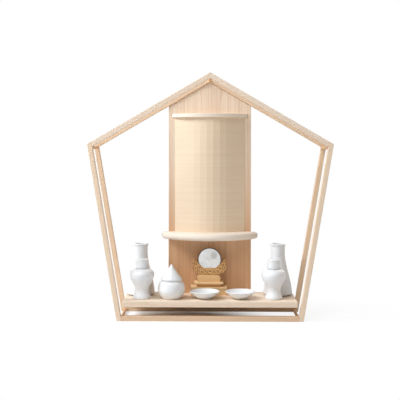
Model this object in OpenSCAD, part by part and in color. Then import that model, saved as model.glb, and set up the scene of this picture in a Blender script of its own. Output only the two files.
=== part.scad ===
/* [House frame] */
// Height of the gable tip above the standing surface
frame_h = 567; // [450:1:700]
// Height of the two shoulders, where the roof bars meet the side bars
shoulder_h = 403.5; // [300:0.5:430]
// Overall width at the shoulders
shoulder_w = 562; // [480:1:640]
// Overall width at the standing surface
foot_w = 426; // [360:1:470]
// Face width of every frame bar, seen from the front
bar_w = 11; // [8:0.5:16]
// Depth of every frame bar, front to back
bar_d = 15; // [10:0.5:20]
// Clear distance between the front frame and the rear frame
frame_gap = 98; // [80:1:130]

/* [Spacer dowels] */
// Diameter of the five dowels that tie the two frames together
dowel_dia = 7; // [4:0.5:9]
// Drop of a shoulder dowel's centre below the inner shoulder corner
shoulder_dowel_drop = 2.5; // [0:0.5:6]
// Distance of a shoulder dowel's centre outside the side bar's inner edge
shoulder_dowel_out = 2; // [0.5:0.5:5]
// Height of the ridge dowel's centre above the inner gable corner
ridge_dowel_rise = 3; // [1:0.5:6]

/* [Back board] */
// Width of the upright back board
board_w = 199; // [150:1:240]
// Thickness of the back board
board_t = 11; // [6:0.5:14]
// Play between the back board and the bars round it
board_play = 0.2; // [0:0.05:0.5]

/* [Shelf] */
// Width of the offering shelf
shelf_w = 399; // [340:1:404]
// Thickness of the offering shelf
shelf_t = 13.5; // [8:0.5:20]
// Clear height between the bottom bars and the shelf
shelf_rise = 21; // [15:0.5:40]

/* [Half-moon shelf] */
// Width of the half-moon shelf along the board
moon_w = 231; // [190:1:260]
// How far the half-moon shelf stands out from the board
moon_reach = 60; // [45:1:75]
// Thickness of the half-moon shelf
moon_t = 18.5; // [10:0.5:22]
// Height of the half-moon shelf's top above the offering shelf
moon_rise = 148; // [130:1:170]
// Reach of the half-moon shelf's rounded edge, seen from above
moon_edge = 12; // [4:0.5:14]

/* [Bent cover] */
// Width of the bent cover along the board
cover_w = 171; // [150:1:186]
// Thickness of the bent sheet
cover_t = 4; // [2:0.5:5]
// Width of each narrow facet on the cover's nose
facet_w = 15.5; // [12:0.5:18]
// Turn from one nose facet to the next, in degrees
facet_turn = 9; // [6:0.5:10]
// Slant of the two flat wings against the board, in degrees
wing_slant = 25; // [20:0.5:28]

/* [Cap] */
// Drop from the gable tip to the top of the cap
cap_drop = 89.5; // [84:0.5:120]
// How far the cap reaches past the cover at each side
cap_side = 6.5; // [2:0.5:10]
// How far the cap reaches past the cover's nose
cap_front = 6; // [2:0.5:10]
// Thickness of the cap
cap_t = 9; // [5:0.5:12]

/* [Mirror] */
// Diameter of the mirror disc
mirror_dia = 55.5; // [45:0.5:62]
// Thickness of the mirror disc
mirror_t = 5; // [3:0.5:7]
// Face width of the mirror's dark rim
rim_w = 1.5; // [1:0.25:3]
// Depth of the recess between the rim and the mirror face
rim_step = 0.6; // [0.3:0.1:1]

/* [Mirror stand] */
// Sideways place of the stand's middle
stand_x = -2; // [-20:0.5:20]
// Clear distance between the stand and the back board
stand_back = 3; // [2:0.5:15]
// Width of the stand's foot block
foot_block_w = 85; // [76:0.5:94]
// Depth of the stand's foot block
foot_block_d = 38; // [34:0.5:44]
// Height of the stand's foot block
foot_block_h = 14.5; // [8:0.5:18]
// Thickness of the plate on the foot block
low_plate_t = 5.5; // [3:0.5:7]
// Overhang of the plate on the foot block
low_plate_lip = 0.8; // [0.2:0.1:2]
// Width of the riser
riser_w = 56.5; // [50:0.5:62]
// Depth of the riser
riser_d = 26; // [20:0.5:30]
// Height of the riser
riser_h = 6.5; // [4:0.5:10]
// Overhang of the top plate past the riser
top_plate_lip = 6; // [2:0.5:7]
// Thickness of the top plate
top_plate_t = 4; // [3:0.5:7]
// Width of the shouldered block
block_w = 55; // [50:0.5:60]
// Depth of the shouldered block
block_d = 20; // [14:0.5:24]
// Height of the shouldered block
block_h = 16.5; // [14:0.5:24]
// Chamfer on the block's two top corners
block_chamfer = 5; // [3:0.5:8]
// Width of the carved cloud
cloud_w = 81.5; // [76:0.5:92]
// Height of the carved cloud at its tips
cloud_h = 38.5; // [34:0.5:42]
// Sideways shift of the cloud and the mirror on the stand
cloud_shift = 1.5; // [-3:0.5:3]
// Thickness of the carved cloud
cloud_t = 14; // [12:0.5:16]
// Depth of wood that the mirror stands on
cradle_floor = 8; // [5:0.5:10]
// Play round the mirror in its groove
mirror_play = 0.3; // [0.2:0.05:0.5]

/* [Vases] */
// Height of a vase
vase_h = 121.5; // [100:0.5:130]
// Radius of a vase near its foot
vase_foot_r = 34; // [28:0.5:37]
// Radius of a vase's neck
vase_neck_r = 17; // [15:0.5:20]
// Reach of a vase's lip past its neck
vase_lip = 2; // [1:0.25:3]
// Radius of the ring that a vase stands on
vase_ring_r = 25; // [20:0.5:27]
// Wall of a vase
vase_wall = 3; // [2:0.25:4]
// Sideways place of the left vase
vase_left_x = -165; // [-168:0.5:-155]
// Sideways place of the right vase
vase_right_x = 162; // [150:0.5:168]
// Distance of the vases' middle from the front of the frame
vase_y = 93; // [91:0.5:96]

/* [Bottles] */
// Height of a bottle's body, up to its neck
bottle_body_h = 70; // [62:0.5:76]
// Largest radius of a bottle, at its shoulder
bottle_r = 28.8; // [26:0.1:30]
// Radius of a bottle's foot
bottle_foot_r = 20.5; // [19:0.1:23]
// Radius of a bottle's waist
bottle_waist_r = 15.5; // [14:0.5:18]
// Outer radius of a bottle's neck
bottle_neck_r = 11; // [9:0.5:11.5]
// Height of a bottle's neck, inside the lid
bottle_neck_h = 19; // [14:0.5:22]
// Wall of a bottle
bottle_wall = 3; // [2:0.25:4]
// Radius of a bottle's lid
bottle_lid_r = 15.3; // [13.5:0.1:16]
// Thickness of the lid's top
bottle_lid_top = 3; // [2:0.5:4]
// Clear height between a bottle's shoulder and its lid
bottle_lid_gap = 0.5; // [0.3:0.1:1]
// Play between a neck or mouth and its lid
lid_play = 0.4; // [0.3:0.1:0.8]
// Sideways place of the left bottle
bottle_left_x = -158; // [-162:0.5:-150]
// Sideways place of the right bottle
bottle_right_x = 148; // [140:0.5:155]
// Distance of the bottles' middle from the front of the frame
bottle_y = 37.5; // [31:0.5:38]

/* [Water jar] */
// Height of the jar without its lid
jar_h = 43.5; // [38:0.5:48]
// Height of the jar's mouth ring above its shoulder
jar_neck_h = 3; // [1:0.5:5]
// Largest radius of the jar
jar_r = 31.4; // [28:0.1:34]
// Radius of the jar's foot
jar_foot_r = 21.5; // [16:0.5:24]
// Inner radius of the jar's mouth
jar_bore_r = 20; // [17:0.5:21.5]
// Wall of the jar
jar_wall = 3; // [2:0.25:4]
// Radius of the jar's lid
jar_lid_r = 25; // [24.5:0.5:28]
// Height of the jar's lid with its tip
jar_lid_h = 36; // [30:0.5:40]
// Sideways place of the jar
jar_x = -89; // [-95:0.5:-80]
// Distance of the jar's middle from the front of the frame
jar_y = 39; // [34.5:0.5:45]

/* [Dishes] */
// Radius of a dish at its rim
dish_r = 35.3; // [30:0.1:36]
// Height of a dish
dish_h = 17.5; // [12:0.5:20]
// Radius of a dish's foot
dish_foot_r = 16; // [12:0.5:18]
// Wall of a dish
dish_wall = 2.5; // [2:0.25:3.5]
// Sideways place of the left dish
dish_left_x = -12; // [-16:0.5:-8]
// Sideways place of the right dish
dish_right_x = 70.5; // [65:0.5:75]
// Distance of the dishes' middle from the front of the frame
dish_y = 38.5; // [36:0.5:39]

/* [Hidden] */
$fn = 96;
cut = 1;

// Directions of the side bars and the roof bars
lean = atan((shoulder_w - foot_w) / 2 / shoulder_h);
pitch = atan((frame_h - shoulder_h) / (shoulder_w / 2));
// Inner edge of a side bar where it meets the standing surface
inner_foot = foot_w / 2 - bar_w / cos(lean);
// Height at which a side bar's inner edge crosses a line of the roof that
// starts at height h on the centre line
function cross_z(h) = (h - inner_foot * tan(pitch)) / (1 + tan(lean) * tan(pitch));
// Sideways place of a side bar's inner edge at height z
function inner_x(z) = inner_foot + z * tan(lean);
roof_low = frame_h - bar_w / cos(pitch);
outer_joint_z = cross_z(frame_h);
inner_joint_z = cross_z(roof_low);

// Depth positions, with the object's middle at zero
depth = 2 * bar_d + frame_gap;
front_y = -depth / 2;
rear_y = depth / 2 - bar_d;
board_y = depth / 2 - board_t;

// Heights
shelf_z = bar_w + shelf_rise;
shelf_top = shelf_z + shelf_t;
moon_top = shelf_top + moon_rise;
cap_top = frame_h - cap_drop;
cover_top = cap_top - cap_t;
cover_h = cover_top - moon_top;

// Plan of the bent cover: slopes of its facets from the middle outwards,
// and the points where they meet
nose_half = 2.5 * facet_w;
slopes = [0, facet_turn, 2 * facet_turn, wing_slant];
bends = [facet_w / 2, 1.5 * facet_w, nose_half];
cover_reach = facet_w * tan(slopes[1]) + facet_w * tan(slopes[2])
              + (cover_w / 2 - nose_half) * tan(wing_slant);
function outer_y(i) = i == 0 ? -cover_reach
    : outer_y(i - 1) + (bends[i] - bends[i - 1]) * tan(slopes[i]);
// The same bend moved inwards by t along the line that halves its angle
function bend_at(i, t) = let(m = (slopes[i] + slopes[i + 1]) / 2,
                             h = (slopes[i + 1] - slopes[i]) / 2,
                             s = t / cos(h))
    [bends[i] - s * sin(m), outer_y(i) + s * cos(m)];
// Point of the wing's line at the depth v, moved inwards by t
function wing_end(t, v) = [cover_w / 2 - t / sin(wing_slant) + v / tan(wing_slant), v];
function half_plan(t, v) = [bend_at(0, t), bend_at(1, t), bend_at(2, t), wing_end(t, v)];
function mirrored(p) = [for (i = [len(p) - 1:-1:0]) [-p[i][0], p[i][1]]];

module bar_prism(depth_y) {
    translate([0, depth_y + bar_d, 0])
        rotate([90, 0, 0])
            linear_extrude(height = bar_d)
                children();
}

module roof_bar(side, depth_y) {
    color("burlywood")
        bar_prism(depth_y)
            mirror([side < 0 ? 1 : 0, 0])
                polygon([[0, frame_h], [0, roof_low],
                         [inner_x(inner_joint_z), inner_joint_z],
                         [inner_x(outer_joint_z), outer_joint_z]]);
}

module side_bar(side, depth_y) {
    color("burlywood")
        bar_prism(depth_y)
            mirror([side < 0 ? 1 : 0, 0])
                polygon([[inner_foot, 0], [foot_w / 2, 0], [shoulder_w / 2, shoulder_h],
                         [inner_x(outer_joint_z), outer_joint_z]]);
}

module bottom_bar(depth_y) {
    color("burlywood")
        bar_prism(depth_y)
            polygon([[-inner_foot, 0], [inner_foot, 0],
                     [inner_x(bar_w), bar_w], [-inner_x(bar_w), bar_w]]);
}

module dowel(x, z) {
    color("tan")
        translate([x, rear_y, z])
            rotate([90, 0, 0])
                cylinder(d = dowel_dia, h = frame_gap);
}

module ridge_dowel() {
    dowel(0, roof_low + ridge_dowel_rise);
}

module shoulder_dowel(side) {
    z = inner_joint_z - shoulder_dowel_drop;
    dowel(side * (inner_x(z) + shoulder_dowel_out), z);
}

module bottom_dowel(side) {
    dowel(side * inner_x(bar_w / 2), bar_w / 2);
}

module back_board() {
    half = board_w / 2;
    peak = roof_low - board_play / cos(pitch);
    color("wheat")
        translate([0, board_y + board_t, 0])
            rotate([90, 0, 0])
                linear_extrude(height = board_t)
                    polygon([[-half, bar_w + board_play], [half, bar_w + board_play],
                             [half, peak - half * tan(pitch)], [0, peak],
                             [-half, peak - half * tan(pitch)]]);
}

// The shelf reaches to the rear face of the frame, with a notch for the board
module offering_shelf() {
    color("moccasin")
        difference() {
            translate([-shelf_w / 2, front_y, shelf_z])
                cube([shelf_w, depth, shelf_t]);
            translate([-board_w / 2 - board_play, board_y, shelf_z - cut])
                cube([board_w + 2 * board_play, board_t + cut, shelf_t + 2 * cut]);
        }
}

// Half-moon plan: the arc through both ends of width w that reaches out by r
module moon_plan(w, r) {
    rad = (w * w / 4 + r * r) / (2 * r);
    intersection() {
        translate([0, rad - r])
            circle(r = rad, $fn = 180);
        translate([-w / 2 - cut, -r - cut])
            square([w + 2 * cut, r + cut]);
    }
}

module half_moon_shelf() {
    rad = (moon_w * moon_w / 4 + moon_reach * moon_reach) / (2 * moon_reach);
    steps = 14;
    // Rounded edge: a half ellipse over the whole thickness, a little squarer
    // than a true one
    function squared(v) = sign(v) * pow(abs(v), 0.85);
    edge = [for (i = [0:steps]) let(a = 180 * i / steps - 90)
            [rad - moon_edge + moon_edge * squared(cos(a)),
             moon_t / 2 + moon_t / 2 * squared(sin(a))]];
    color("linen")
        translate([0, board_y, moon_top - moon_t])
            intersection() {
                translate([0, rad - moon_reach, 0])
                    rotate_extrude($fn = 180)
                        polygon(concat([[0, 0]], edge, [[0, moon_t]]));
                translate([-moon_w, -2 * moon_reach, -moon_t])
                    cube([2 * moon_w, 2 * moon_reach, 3 * moon_t]);
            }
}

module bent_cover() {
    outer = concat(half_plan(0, 0), mirrored(half_plan(0, 0)));
    inner = concat(half_plan(cover_t, cut), mirrored(half_plan(cover_t, cut)));
    color("navajowhite")
        translate([0, board_y, moon_top])
            linear_extrude(height = cover_h)
                difference() {
                    polygon(outer);
                    polygon(inner);
                }
}

module cover_cap() {
    color("wheat")
        translate([0, board_y, cover_top])
            linear_extrude(height = cap_t)
                moon_plan(cover_w + 2 * cap_side, cover_reach + cap_front);
}

// Mirror stand, stacked from the shelf upwards
low_plate_z = shelf_top + foot_block_h;
riser_z = low_plate_z + low_plate_t;
top_plate_z = riser_z + riser_h;
block_z = top_plate_z + top_plate_t;
cloud_z = block_z + block_h;
mirror_z = cloud_z + cradle_floor + mirror_play + mirror_dia / 2;
stand_y = board_y - stand_back - foot_block_d / 2;

module on_stand(z) {
    translate([stand_x, stand_y, z])
        children();
}

module slab(w, d, h) {
    translate([-w / 2, -d / 2, 0])
        cube([w, d, h]);
}

module stand_foot_block() {
    color("peru")
        on_stand(shelf_top)
            slab(foot_block_w, foot_block_d, foot_block_h);
}

module stand_low_plate() {
    color("sandybrown")
        on_stand(low_plate_z)
            slab(foot_block_w + 2 * low_plate_lip, foot_block_d + 2 * low_plate_lip,
                 low_plate_t);
}

module stand_riser() {
    color("peru")
        on_stand(riser_z)
            slab(riser_w, riser_d, riser_h);
}

module stand_top_plate() {
    color("sandybrown")
        on_stand(top_plate_z)
            slab(riser_w + 2 * top_plate_lip, riser_d + 2 * top_plate_lip, top_plate_t);
}

module stand_block() {
    h = block_w / 2;
    color("peru")
        on_stand(block_z)
            translate([0, block_d / 2, 0])
                rotate([90, 0, 0])
                    linear_extrude(height = block_d)
                        polygon([[-h, 0], [h, 0], [h, block_h - block_chamfer],
                                 [h - block_chamfer, block_h],
                                 [block_chamfer - h, block_h],
                                 [-h, block_h - block_chamfer]]);
}

// Outline of the cloud in polar form about a point near the mirror's middle.
// The angle runs from straight down to either side. The outer edge swells in two
// lobes a side, and the inner edge is a straight-sided cradle.
cloud_mid = 31;
cloud_end = 101;
function cloud_out(a) = 39.2 + (a > 81 ? 1.5 * sin(180 * (a - 81) / 20)
                                       : 4.2 * abs(sin(180 * (81 - a) / 38)));
function cloud_in(a) = min(20.9 / cos(a - 43.9), a < 85 ? 14.8 / cos(a) : 100);
function cloud_point(r, a) = [r * sin(a) * cloud_w / 81.4,
                              max(0, cloud_mid - r * cos(a)) * cloud_h / 38.6];

module mirror_cloud() {
    groove = mirror_t + 2 * mirror_play;
    seat_r = mirror_dia / 2 + mirror_play;
    steps = 50;
    outer = [for (i = [0:steps]) let(a = cloud_end * (2 * i / steps - 1))
             cloud_point(cloud_out(abs(a)), a)];
    inner = [for (a = [cloud_end, 44.9, -44.9, -cloud_end])
             cloud_point(cloud_in(abs(a)), a)];
    color("goldenrod")
        on_stand(cloud_z)
            difference() {
                translate([cloud_shift, cloud_t / 2, 0])
                    rotate([90, 0, 0])
                        linear_extrude(height = cloud_t)
                            polygon(concat(outer, inner));
                // Groove that the mirror's rim stands in
                translate([cloud_shift, groove / 2, mirror_z - cloud_z])
                    rotate([90, 0, 0])
                        cylinder(r = seat_r, h = groove, $fn = 96);
            }
}

module mirror_disc() {
    color("silver")
        on_stand(mirror_z)
            translate([cloud_shift, mirror_t / 2, 0])
                rotate([90, 0, 0])
                    cylinder(r = mirror_dia / 2 - rim_w, h = mirror_t - rim_step);
}

module mirror_rim() {
    color("dimgray")
        on_stand(mirror_z)
            translate([cloud_shift, mirror_t / 2, 0])
                rotate([90, 0, 0])
                    difference() {
                        cylinder(r = mirror_dia / 2, h = mirror_t);
                        translate([0, 0, -cut])
                            cylinder(r = mirror_dia / 2 - rim_w, h = mirror_t + 2 * cut);
                    }
}

module on_shelf(x, y) {
    translate([x, front_y + y, shelf_top])
        children();
}

// Radius of a vase at height z: a smooth flare between foot and neck
flare_top = 0.8 * vase_h;
function ease(f) = (1 - cos(180 * f)) / 2;
function vase_r(z) = let(f = min(1, max(0, (z - 6) / (flare_top - 6))))
    vase_foot_r + (vase_neck_r - vase_foot_r) * (0.35 * f + 0.65 * ease(f));

module vase(x) {
    ring_h = 2;
    lip_h = 4;
    steps = 16;
    rise = [for (i = [0:steps]) ring_h + 4 + (flare_top - ring_h - 4) * i / steps];
    outside = concat([[0, 0], [vase_ring_r, 0], [vase_ring_r, ring_h],
                      [vase_foot_r - 1.5, ring_h + 0.5], [vase_foot_r, ring_h + 2]],
                     [for (z = rise) [vase_r(z), z]],
                     [[vase_neck_r, vase_h - lip_h - 2],
                      [vase_neck_r + vase_lip, vase_h - lip_h],
                      [vase_neck_r + vase_lip, vase_h - 1],
                      [vase_neck_r + vase_lip - 1, vase_h]]);
    inside = concat([[vase_neck_r - vase_wall + 1, vase_h],
                     [vase_neck_r - vase_wall, vase_h - 2]],
                    [for (i = [steps:-1:1]) [vase_r(rise[i]) - vase_wall, rise[i]]],
                    [[vase_foot_r - vase_wall - 2, ring_h + vase_wall + 3],
                     [0, ring_h + vase_wall + 2]]);
    color("white")
        on_shelf(x, vase_y)
            rotate_extrude()
                polygon(concat(outside, inside));
}

// Outer radius of a bottle at the share f of its height up to the neck
function bottle_out(f) = f < 0.25
    ? bottle_foot_r + (bottle_waist_r - bottle_foot_r) * ease(f / 0.25)
    : f < 0.8
    ? bottle_waist_r + (bottle_r - bottle_waist_r) * ease((f - 0.25) / 0.55)
    : bottle_neck_r + (bottle_r - bottle_neck_r) * sqrt(max(0, 1 - pow((f - 0.8) / 0.2, 2)));

module bottle(x) {
    steps = 32;
    foot = 2;
    belly_start = 11;
    prof = [for (i = [0:steps]) let(f = i / steps)
            [bottle_out(f), foot + (bottle_body_h - foot) * f]];
    bore_r = bottle_neck_r - bottle_wall;
    belly = [for (i = [steps - 1:-1:belly_start])
             [max(bore_r, prof[i][0] - bottle_wall), prof[i][1] - bottle_wall * 0.4]];
    color("white")
        on_shelf(x, bottle_y)
            rotate_extrude()
                polygon(concat([[0, 0], [bottle_foot_r - 0.8, 0], [bottle_foot_r, 0.8]],
                               prof,
                               [[bottle_neck_r, bottle_body_h + bottle_neck_h],
                                [bore_r, bottle_body_h + bottle_neck_h],
                                [bore_r, bottle_body_h - bottle_wall * 0.4]],
                               belly, [[0, prof[belly_start][1] - bottle_wall * 1.4]]));
}

// Hollow lid that hangs over the neck and rests on the neck's top
module bottle_lid(x) {
    low = bottle_lid_gap;
    top = bottle_neck_h + bottle_lid_top;
    hole_r = bottle_neck_r + lid_play;
    color("white")
        on_shelf(x, bottle_y)
            translate([0, 0, bottle_body_h])
                rotate_extrude()
                    polygon([[hole_r, low], [bottle_lid_r - 0.8, low],
                             [bottle_lid_r, low + 0.8], [bottle_lid_r - 0.4, top - 3.2],
                             [bottle_lid_r + 0.2, top - 2.4], [bottle_lid_r + 0.2, top - 0.9],
                             [bottle_lid_r - 0.6, top], [0, top + 0.4],
                             [0, bottle_neck_h], [hole_r, bottle_neck_h]]);
}

// Outer radius of the jar at the share f of its height up to the shoulder
function jar_out(f) = f < 0.52
    ? jar_foot_r + (jar_r - jar_foot_r) * pow(sin(90 * f / 0.52), 0.85)
    : jar_bore_r + jar_wall
      + (jar_r - jar_bore_r - jar_wall) * sqrt(max(0, 1 - pow((f - 0.52) / 0.48, 2)));

module water_jar() {
    steps = 24;
    shoulder_z = jar_h - jar_neck_h;
    prof = [for (i = [0:steps]) [jar_out(i / steps), 1 + (shoulder_z - 1) * i / steps]];
    mouth = [[jar_bore_r + jar_wall, jar_h - 0.5], [jar_bore_r + jar_wall - 0.5, jar_h],
             [jar_bore_r, jar_h]];
    inside = [for (i = [steps:-1:3])
              [i == steps ? jar_bore_r : max(jar_bore_r, prof[i][0] - jar_wall), prof[i][1]]];
    color("white")
        on_shelf(jar_x, jar_y)
            rotate_extrude()
                polygon(concat([[0, 0], [jar_foot_r - 1, 0]], prof, mouth, inside,
                               [[0, 1 + jar_wall]]));
}

module water_jar_lid() {
    plug_r = jar_bore_r - lid_play;
    plug_h = 3;
    brim = 2.5;
    steps = 16;
    // The lid sweeps up in a hollow curve to a round tip
    crown = [for (i = [0:steps]) let(f = i / steps)
             [2 + (jar_lid_r - 2.6) * pow(1 - f, 1.1), brim + (jar_lid_h - brim - 2) * f]];
    under = [for (i = [8:-1:1]) [min(plug_r - jar_wall, crown[i][0] - jar_wall - 1),
                                 crown[i][1] - jar_wall]];
    color("white")
        on_shelf(jar_x, jar_y)
            translate([0, 0, jar_h])
                rotate_extrude()
                    polygon(concat([[plug_r - jar_wall, -plug_h], [plug_r, -plug_h],
                                    [plug_r, 0], [jar_lid_r - 0.8, 0], [jar_lid_r, 0.8]],
                                   crown, [[1.2, jar_lid_h - 0.5], [0, jar_lid_h],
                                           [0, under[0][1] + 1]], under));
}

module dish(x) {
    steps = 12;
    out = [for (i = [0:steps]) let(f = i / steps)
           [dish_foot_r + (dish_r - dish_foot_r) * sin(90 * pow(f, 0.9)) * 0.55
            + (dish_r - dish_foot_r) * 0.45 * f, 1.5 + (dish_h - 1.5) * f]];
    inside = [for (i = [steps:-1:2]) [out[i][0] - dish_wall * 0.9, out[i][1] + (i == steps ? 0 : 0.6)]];
    color("white")
        on_shelf(x, dish_y)
            rotate_extrude()
                polygon(concat([[0, 0], [dish_foot_r - 0.5, 0]], out, inside,
                               [[0, 1.5 + dish_wall]]));
}

roof_bar(-1, front_y);  // front_roof_bar_left
roof_bar(1, front_y);  // front_roof_bar_right
side_bar(-1, front_y);  // front_side_bar_left
side_bar(1, front_y);  // front_side_bar_right
bottom_bar(front_y);  // front_bottom_bar
roof_bar(-1, rear_y);  // rear_roof_bar_left
roof_bar(1, rear_y);  // rear_roof_bar_right
side_bar(-1, rear_y);  // rear_side_bar_left
side_bar(1, rear_y);  // rear_side_bar_right
bottom_bar(rear_y);  // rear_bottom_bar
ridge_dowel();
shoulder_dowel(-1);  // shoulder_dowel_left
shoulder_dowel(1);  // shoulder_dowel_right
bottom_dowel(-1);  // bottom_dowel_left
bottom_dowel(1);  // bottom_dowel_right
back_board();
offering_shelf();
half_moon_shelf();
bent_cover();
cover_cap();
mirror_disc();
mirror_rim();
mirror_cloud();
stand_block();
stand_top_plate();
stand_riser();
stand_low_plate();
stand_foot_block();
vase(vase_left_x);  // vase_left
vase(vase_right_x);  // vase_right
bottle(bottle_left_x);  // bottle_left
bottle(bottle_right_x);  // bottle_right
bottle_lid(bottle_left_x);  // bottle_lid_left
bottle_lid(bottle_right_x);  // bottle_lid_right
water_jar();
water_jar_lid();
dish(dish_left_x);  // dish_left
dish(dish_right_x);  // dish_right
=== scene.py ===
# %% [markdown]
# A kamidana is a small shrine shelf for the home. This one is shaped like the
# gable of a house: two slim frames of pale cypress, a tall board between them, a
# shelf for offerings, and a bent sheet of wood with a cap that houses the talisman.
# Its construction is already drawn at real size. This lesson gives every piece the
# softened edges, the grain and the glaze that the real ones have.

import bmesh
import bpy
import numpy as np
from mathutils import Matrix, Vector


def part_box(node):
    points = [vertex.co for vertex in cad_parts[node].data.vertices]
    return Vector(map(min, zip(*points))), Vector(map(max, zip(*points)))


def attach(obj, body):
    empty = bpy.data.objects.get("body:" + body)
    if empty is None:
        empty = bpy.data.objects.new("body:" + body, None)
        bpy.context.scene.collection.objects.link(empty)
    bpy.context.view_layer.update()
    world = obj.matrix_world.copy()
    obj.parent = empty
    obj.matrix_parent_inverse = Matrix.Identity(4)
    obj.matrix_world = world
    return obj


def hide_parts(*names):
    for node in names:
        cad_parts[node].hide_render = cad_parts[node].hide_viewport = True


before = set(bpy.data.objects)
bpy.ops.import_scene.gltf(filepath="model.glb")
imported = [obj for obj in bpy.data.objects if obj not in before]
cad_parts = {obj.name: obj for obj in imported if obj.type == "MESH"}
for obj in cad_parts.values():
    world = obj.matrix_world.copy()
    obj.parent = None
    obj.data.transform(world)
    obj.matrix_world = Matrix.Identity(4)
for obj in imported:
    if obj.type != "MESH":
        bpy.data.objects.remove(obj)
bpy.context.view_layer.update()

print("pieces in the construction:", len(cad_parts))

# %% [markdown]
# The picture was taken with a level camera a little left of the middle, at the
# height of the roof's lower end, so upright lines stay upright. A level camera with
# a shifted frame does the same here. Tilting it down would make the sides converge.

# %% Camera
camera_place = (-0.0094, -1.8995, 0.3899)
camera_lens = 72.66
frame_shift = (0.0119, -0.1273)
camera_turn = (np.pi / 2 + 0.00123, -0.00146, 0.0133)

camera_data = bpy.data.cameras.new("camera")
camera_data.lens = camera_lens
camera_data.shift_x, camera_data.shift_y = frame_shift
camera = bpy.data.objects.new("camera", camera_data)
camera.location = camera_place
camera.rotation_euler = camera_turn
bpy.context.scene.collection.objects.link(camera)
bpy.context.scene.camera = camera
bpy.context.scene.view_settings.view_transform = "Standard"
print("camera at", camera_place)

# %% [markdown]
# Every piece is a surface worked out as rows of points. A row runs round the piece
# and the rows follow one another along it, so one function can join them with
# four-sided faces. Points that fall together are merged, which closes poles, and
# the faces are then turned outwards.

# %% Surface from rows of points
MERGE = 3e-6


def surface(name, rows, lids=True, marks=None, crisp=None):
    """Closed mesh through rows[v, u] = (x, y, z): face (v, u) joins the points
    (v, u), (v, u+1), (v+1, u+1) and (v+1, u), and u wraps round. The UV map holds
    the length along the row and the length across the rows, in metres."""
    count_v, count_u = rows.shape[:2]
    index = np.arange(count_v * count_u).reshape(count_v, count_u)
    faces = patches(wrapped(index)).reshape(-1, 4).tolist()
    if lids:
        faces += [index[0, ::-1].tolist(), index[-1].tolist()]
    mesh = bpy.data.meshes.new(name)
    mesh.from_pydata(rows.reshape(-1, 3).tolist(), [], faces)
    mesh.uv_layers.new(name="UVMap")
    mesh.uv_layers[0].data.foreach_set("uv", row_lengths(rows, lids).ravel())
    if marks is not None:
        layer = mesh.attributes.new("carve", "FLOAT", "POINT")
        layer.data.foreach_set("value", marks.ravel().astype(np.float32))
    close_and_turn(mesh)
    if crisp is not None:
        mesh.set_sharp_from_angle(angle=np.radians(crisp))
    piece = bpy.data.objects.new(name, mesh)
    bpy.context.scene.collection.objects.link(piece)
    return piece


def wrapped(grid):
    return np.concatenate([grid, grid[:, :1]], axis=1)


def patches(grid):
    """A grid's values at the four corners of each patch."""
    return np.stack([grid[:-1, :-1], grid[:-1, 1:], grid[1:, 1:], grid[1:, :-1]], axis=2)


def row_lengths(rows, lids):
    """UV of every face corner: along = sum of |step in u| on the widest row,
    across = sum of the widest |step in v|."""
    step_u = np.linalg.norm(np.diff(wrapped(rows), axis=1), axis=2).max(axis=0)
    step_v = np.linalg.norm(np.diff(rows, axis=0), axis=2).max(axis=1)
    along = np.concatenate([[0], np.cumsum(step_u)])
    across = np.concatenate([[0], np.cumsum(step_v)])
    u, v = np.meshgrid(along, across)
    corner = np.stack([u, v], axis=-1)
    quads = patches(corner).reshape(-1, 2)
    if not lids:
        return quads.astype(np.float32)
    ends = np.concatenate([corner[0, -2::-1], corner[-1, :-1]])
    return np.concatenate([quads, ends]).astype(np.float32)


def close_and_turn(mesh):
    """Merge the points that fall together, drop faces of no size and turn the others
    outwards."""
    work = bmesh.new()
    work.from_mesh(mesh)
    bmesh.ops.remove_doubles(work, verts=work.verts, dist=MERGE)
    bmesh.ops.dissolve_degenerate(work, edges=work.edges, dist=MERGE)
    bmesh.ops.recalc_face_normals(work, faces=work.faces)
    work.to_mesh(mesh)
    work.free()
    mesh.shade_smooth()


print("points closer than", MERGE, "m are merged")

# %% [markdown]
# Planed wood never has a knife-sharp corner: the maker breaks each edge with a few
# strokes. A Bevel modifier could do that, but a rounded outline worked out by
# formula gives full control of each corner, and the same outline, drawn in a little
# at both ends, eases the other edges too.

# %% Rounded outlines and eased ends
def fillet(corners, radius, steps=5):
    """Closed outline, anticlockwise, and its outward normals. At a corner where the
    heading turns by t, an arc of that radius starts radius * tan(t / 2) before it:
    p = start + radius * (sin(a) * ahead + (1 - cos(a)) * inward), a from 0 to t."""
    corners = np.asarray(corners, float)
    ahead = corners - np.roll(corners, 1, axis=0)
    ahead /= np.linalg.norm(ahead, axis=1, keepdims=True)
    leaving = np.roll(ahead, -1, axis=0)
    bend = ahead[:, 0] * leaving[:, 1] - ahead[:, 1] * leaving[:, 0]
    turn = np.arctan2(bend, np.sum(ahead * leaving, axis=1))
    radius = np.broadcast_to(radius, turn.shape)
    reach = radius * np.tan(np.abs(turn) / 2)
    start = (corners - ahead * reach[:, None])[:, None]
    inward = np.stack([-ahead[:, 1], ahead[:, 0]], axis=1) * np.sign(turn)[:, None]
    ahead, inward = ahead[:, None], inward[:, None]
    angle = np.abs(turn)[:, None, None] * np.linspace(0, 1, steps)[None, :, None]
    arc = np.sin(angle) * ahead + (1 - np.cos(angle)) * inward
    heading = np.cos(angle) * ahead + np.sin(angle) * inward
    points = start + radius[:, None, None] * arc
    normals = np.stack([heading[..., 1], -heading[..., 0]], axis=-1)
    return points.reshape(-1, 2), normals.reshape(-1, 2)


def eased_ends(low, high, ease, steps=5):
    """Inset and height of the rows from low to high when both ends are drawn in by a
    quarter circle: inset = ease * (1 - sin(a)) at the depth ease * (1 - cos(a))."""
    angle = np.linspace(0, np.pi / 2, steps)
    inset = ease * (1 - np.sin(angle))
    rise = ease * (1 - np.cos(angle))
    return (np.concatenate([inset, inset[::-1]]),
            np.concatenate([low + rise, (high - rise)[::-1]]))


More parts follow.
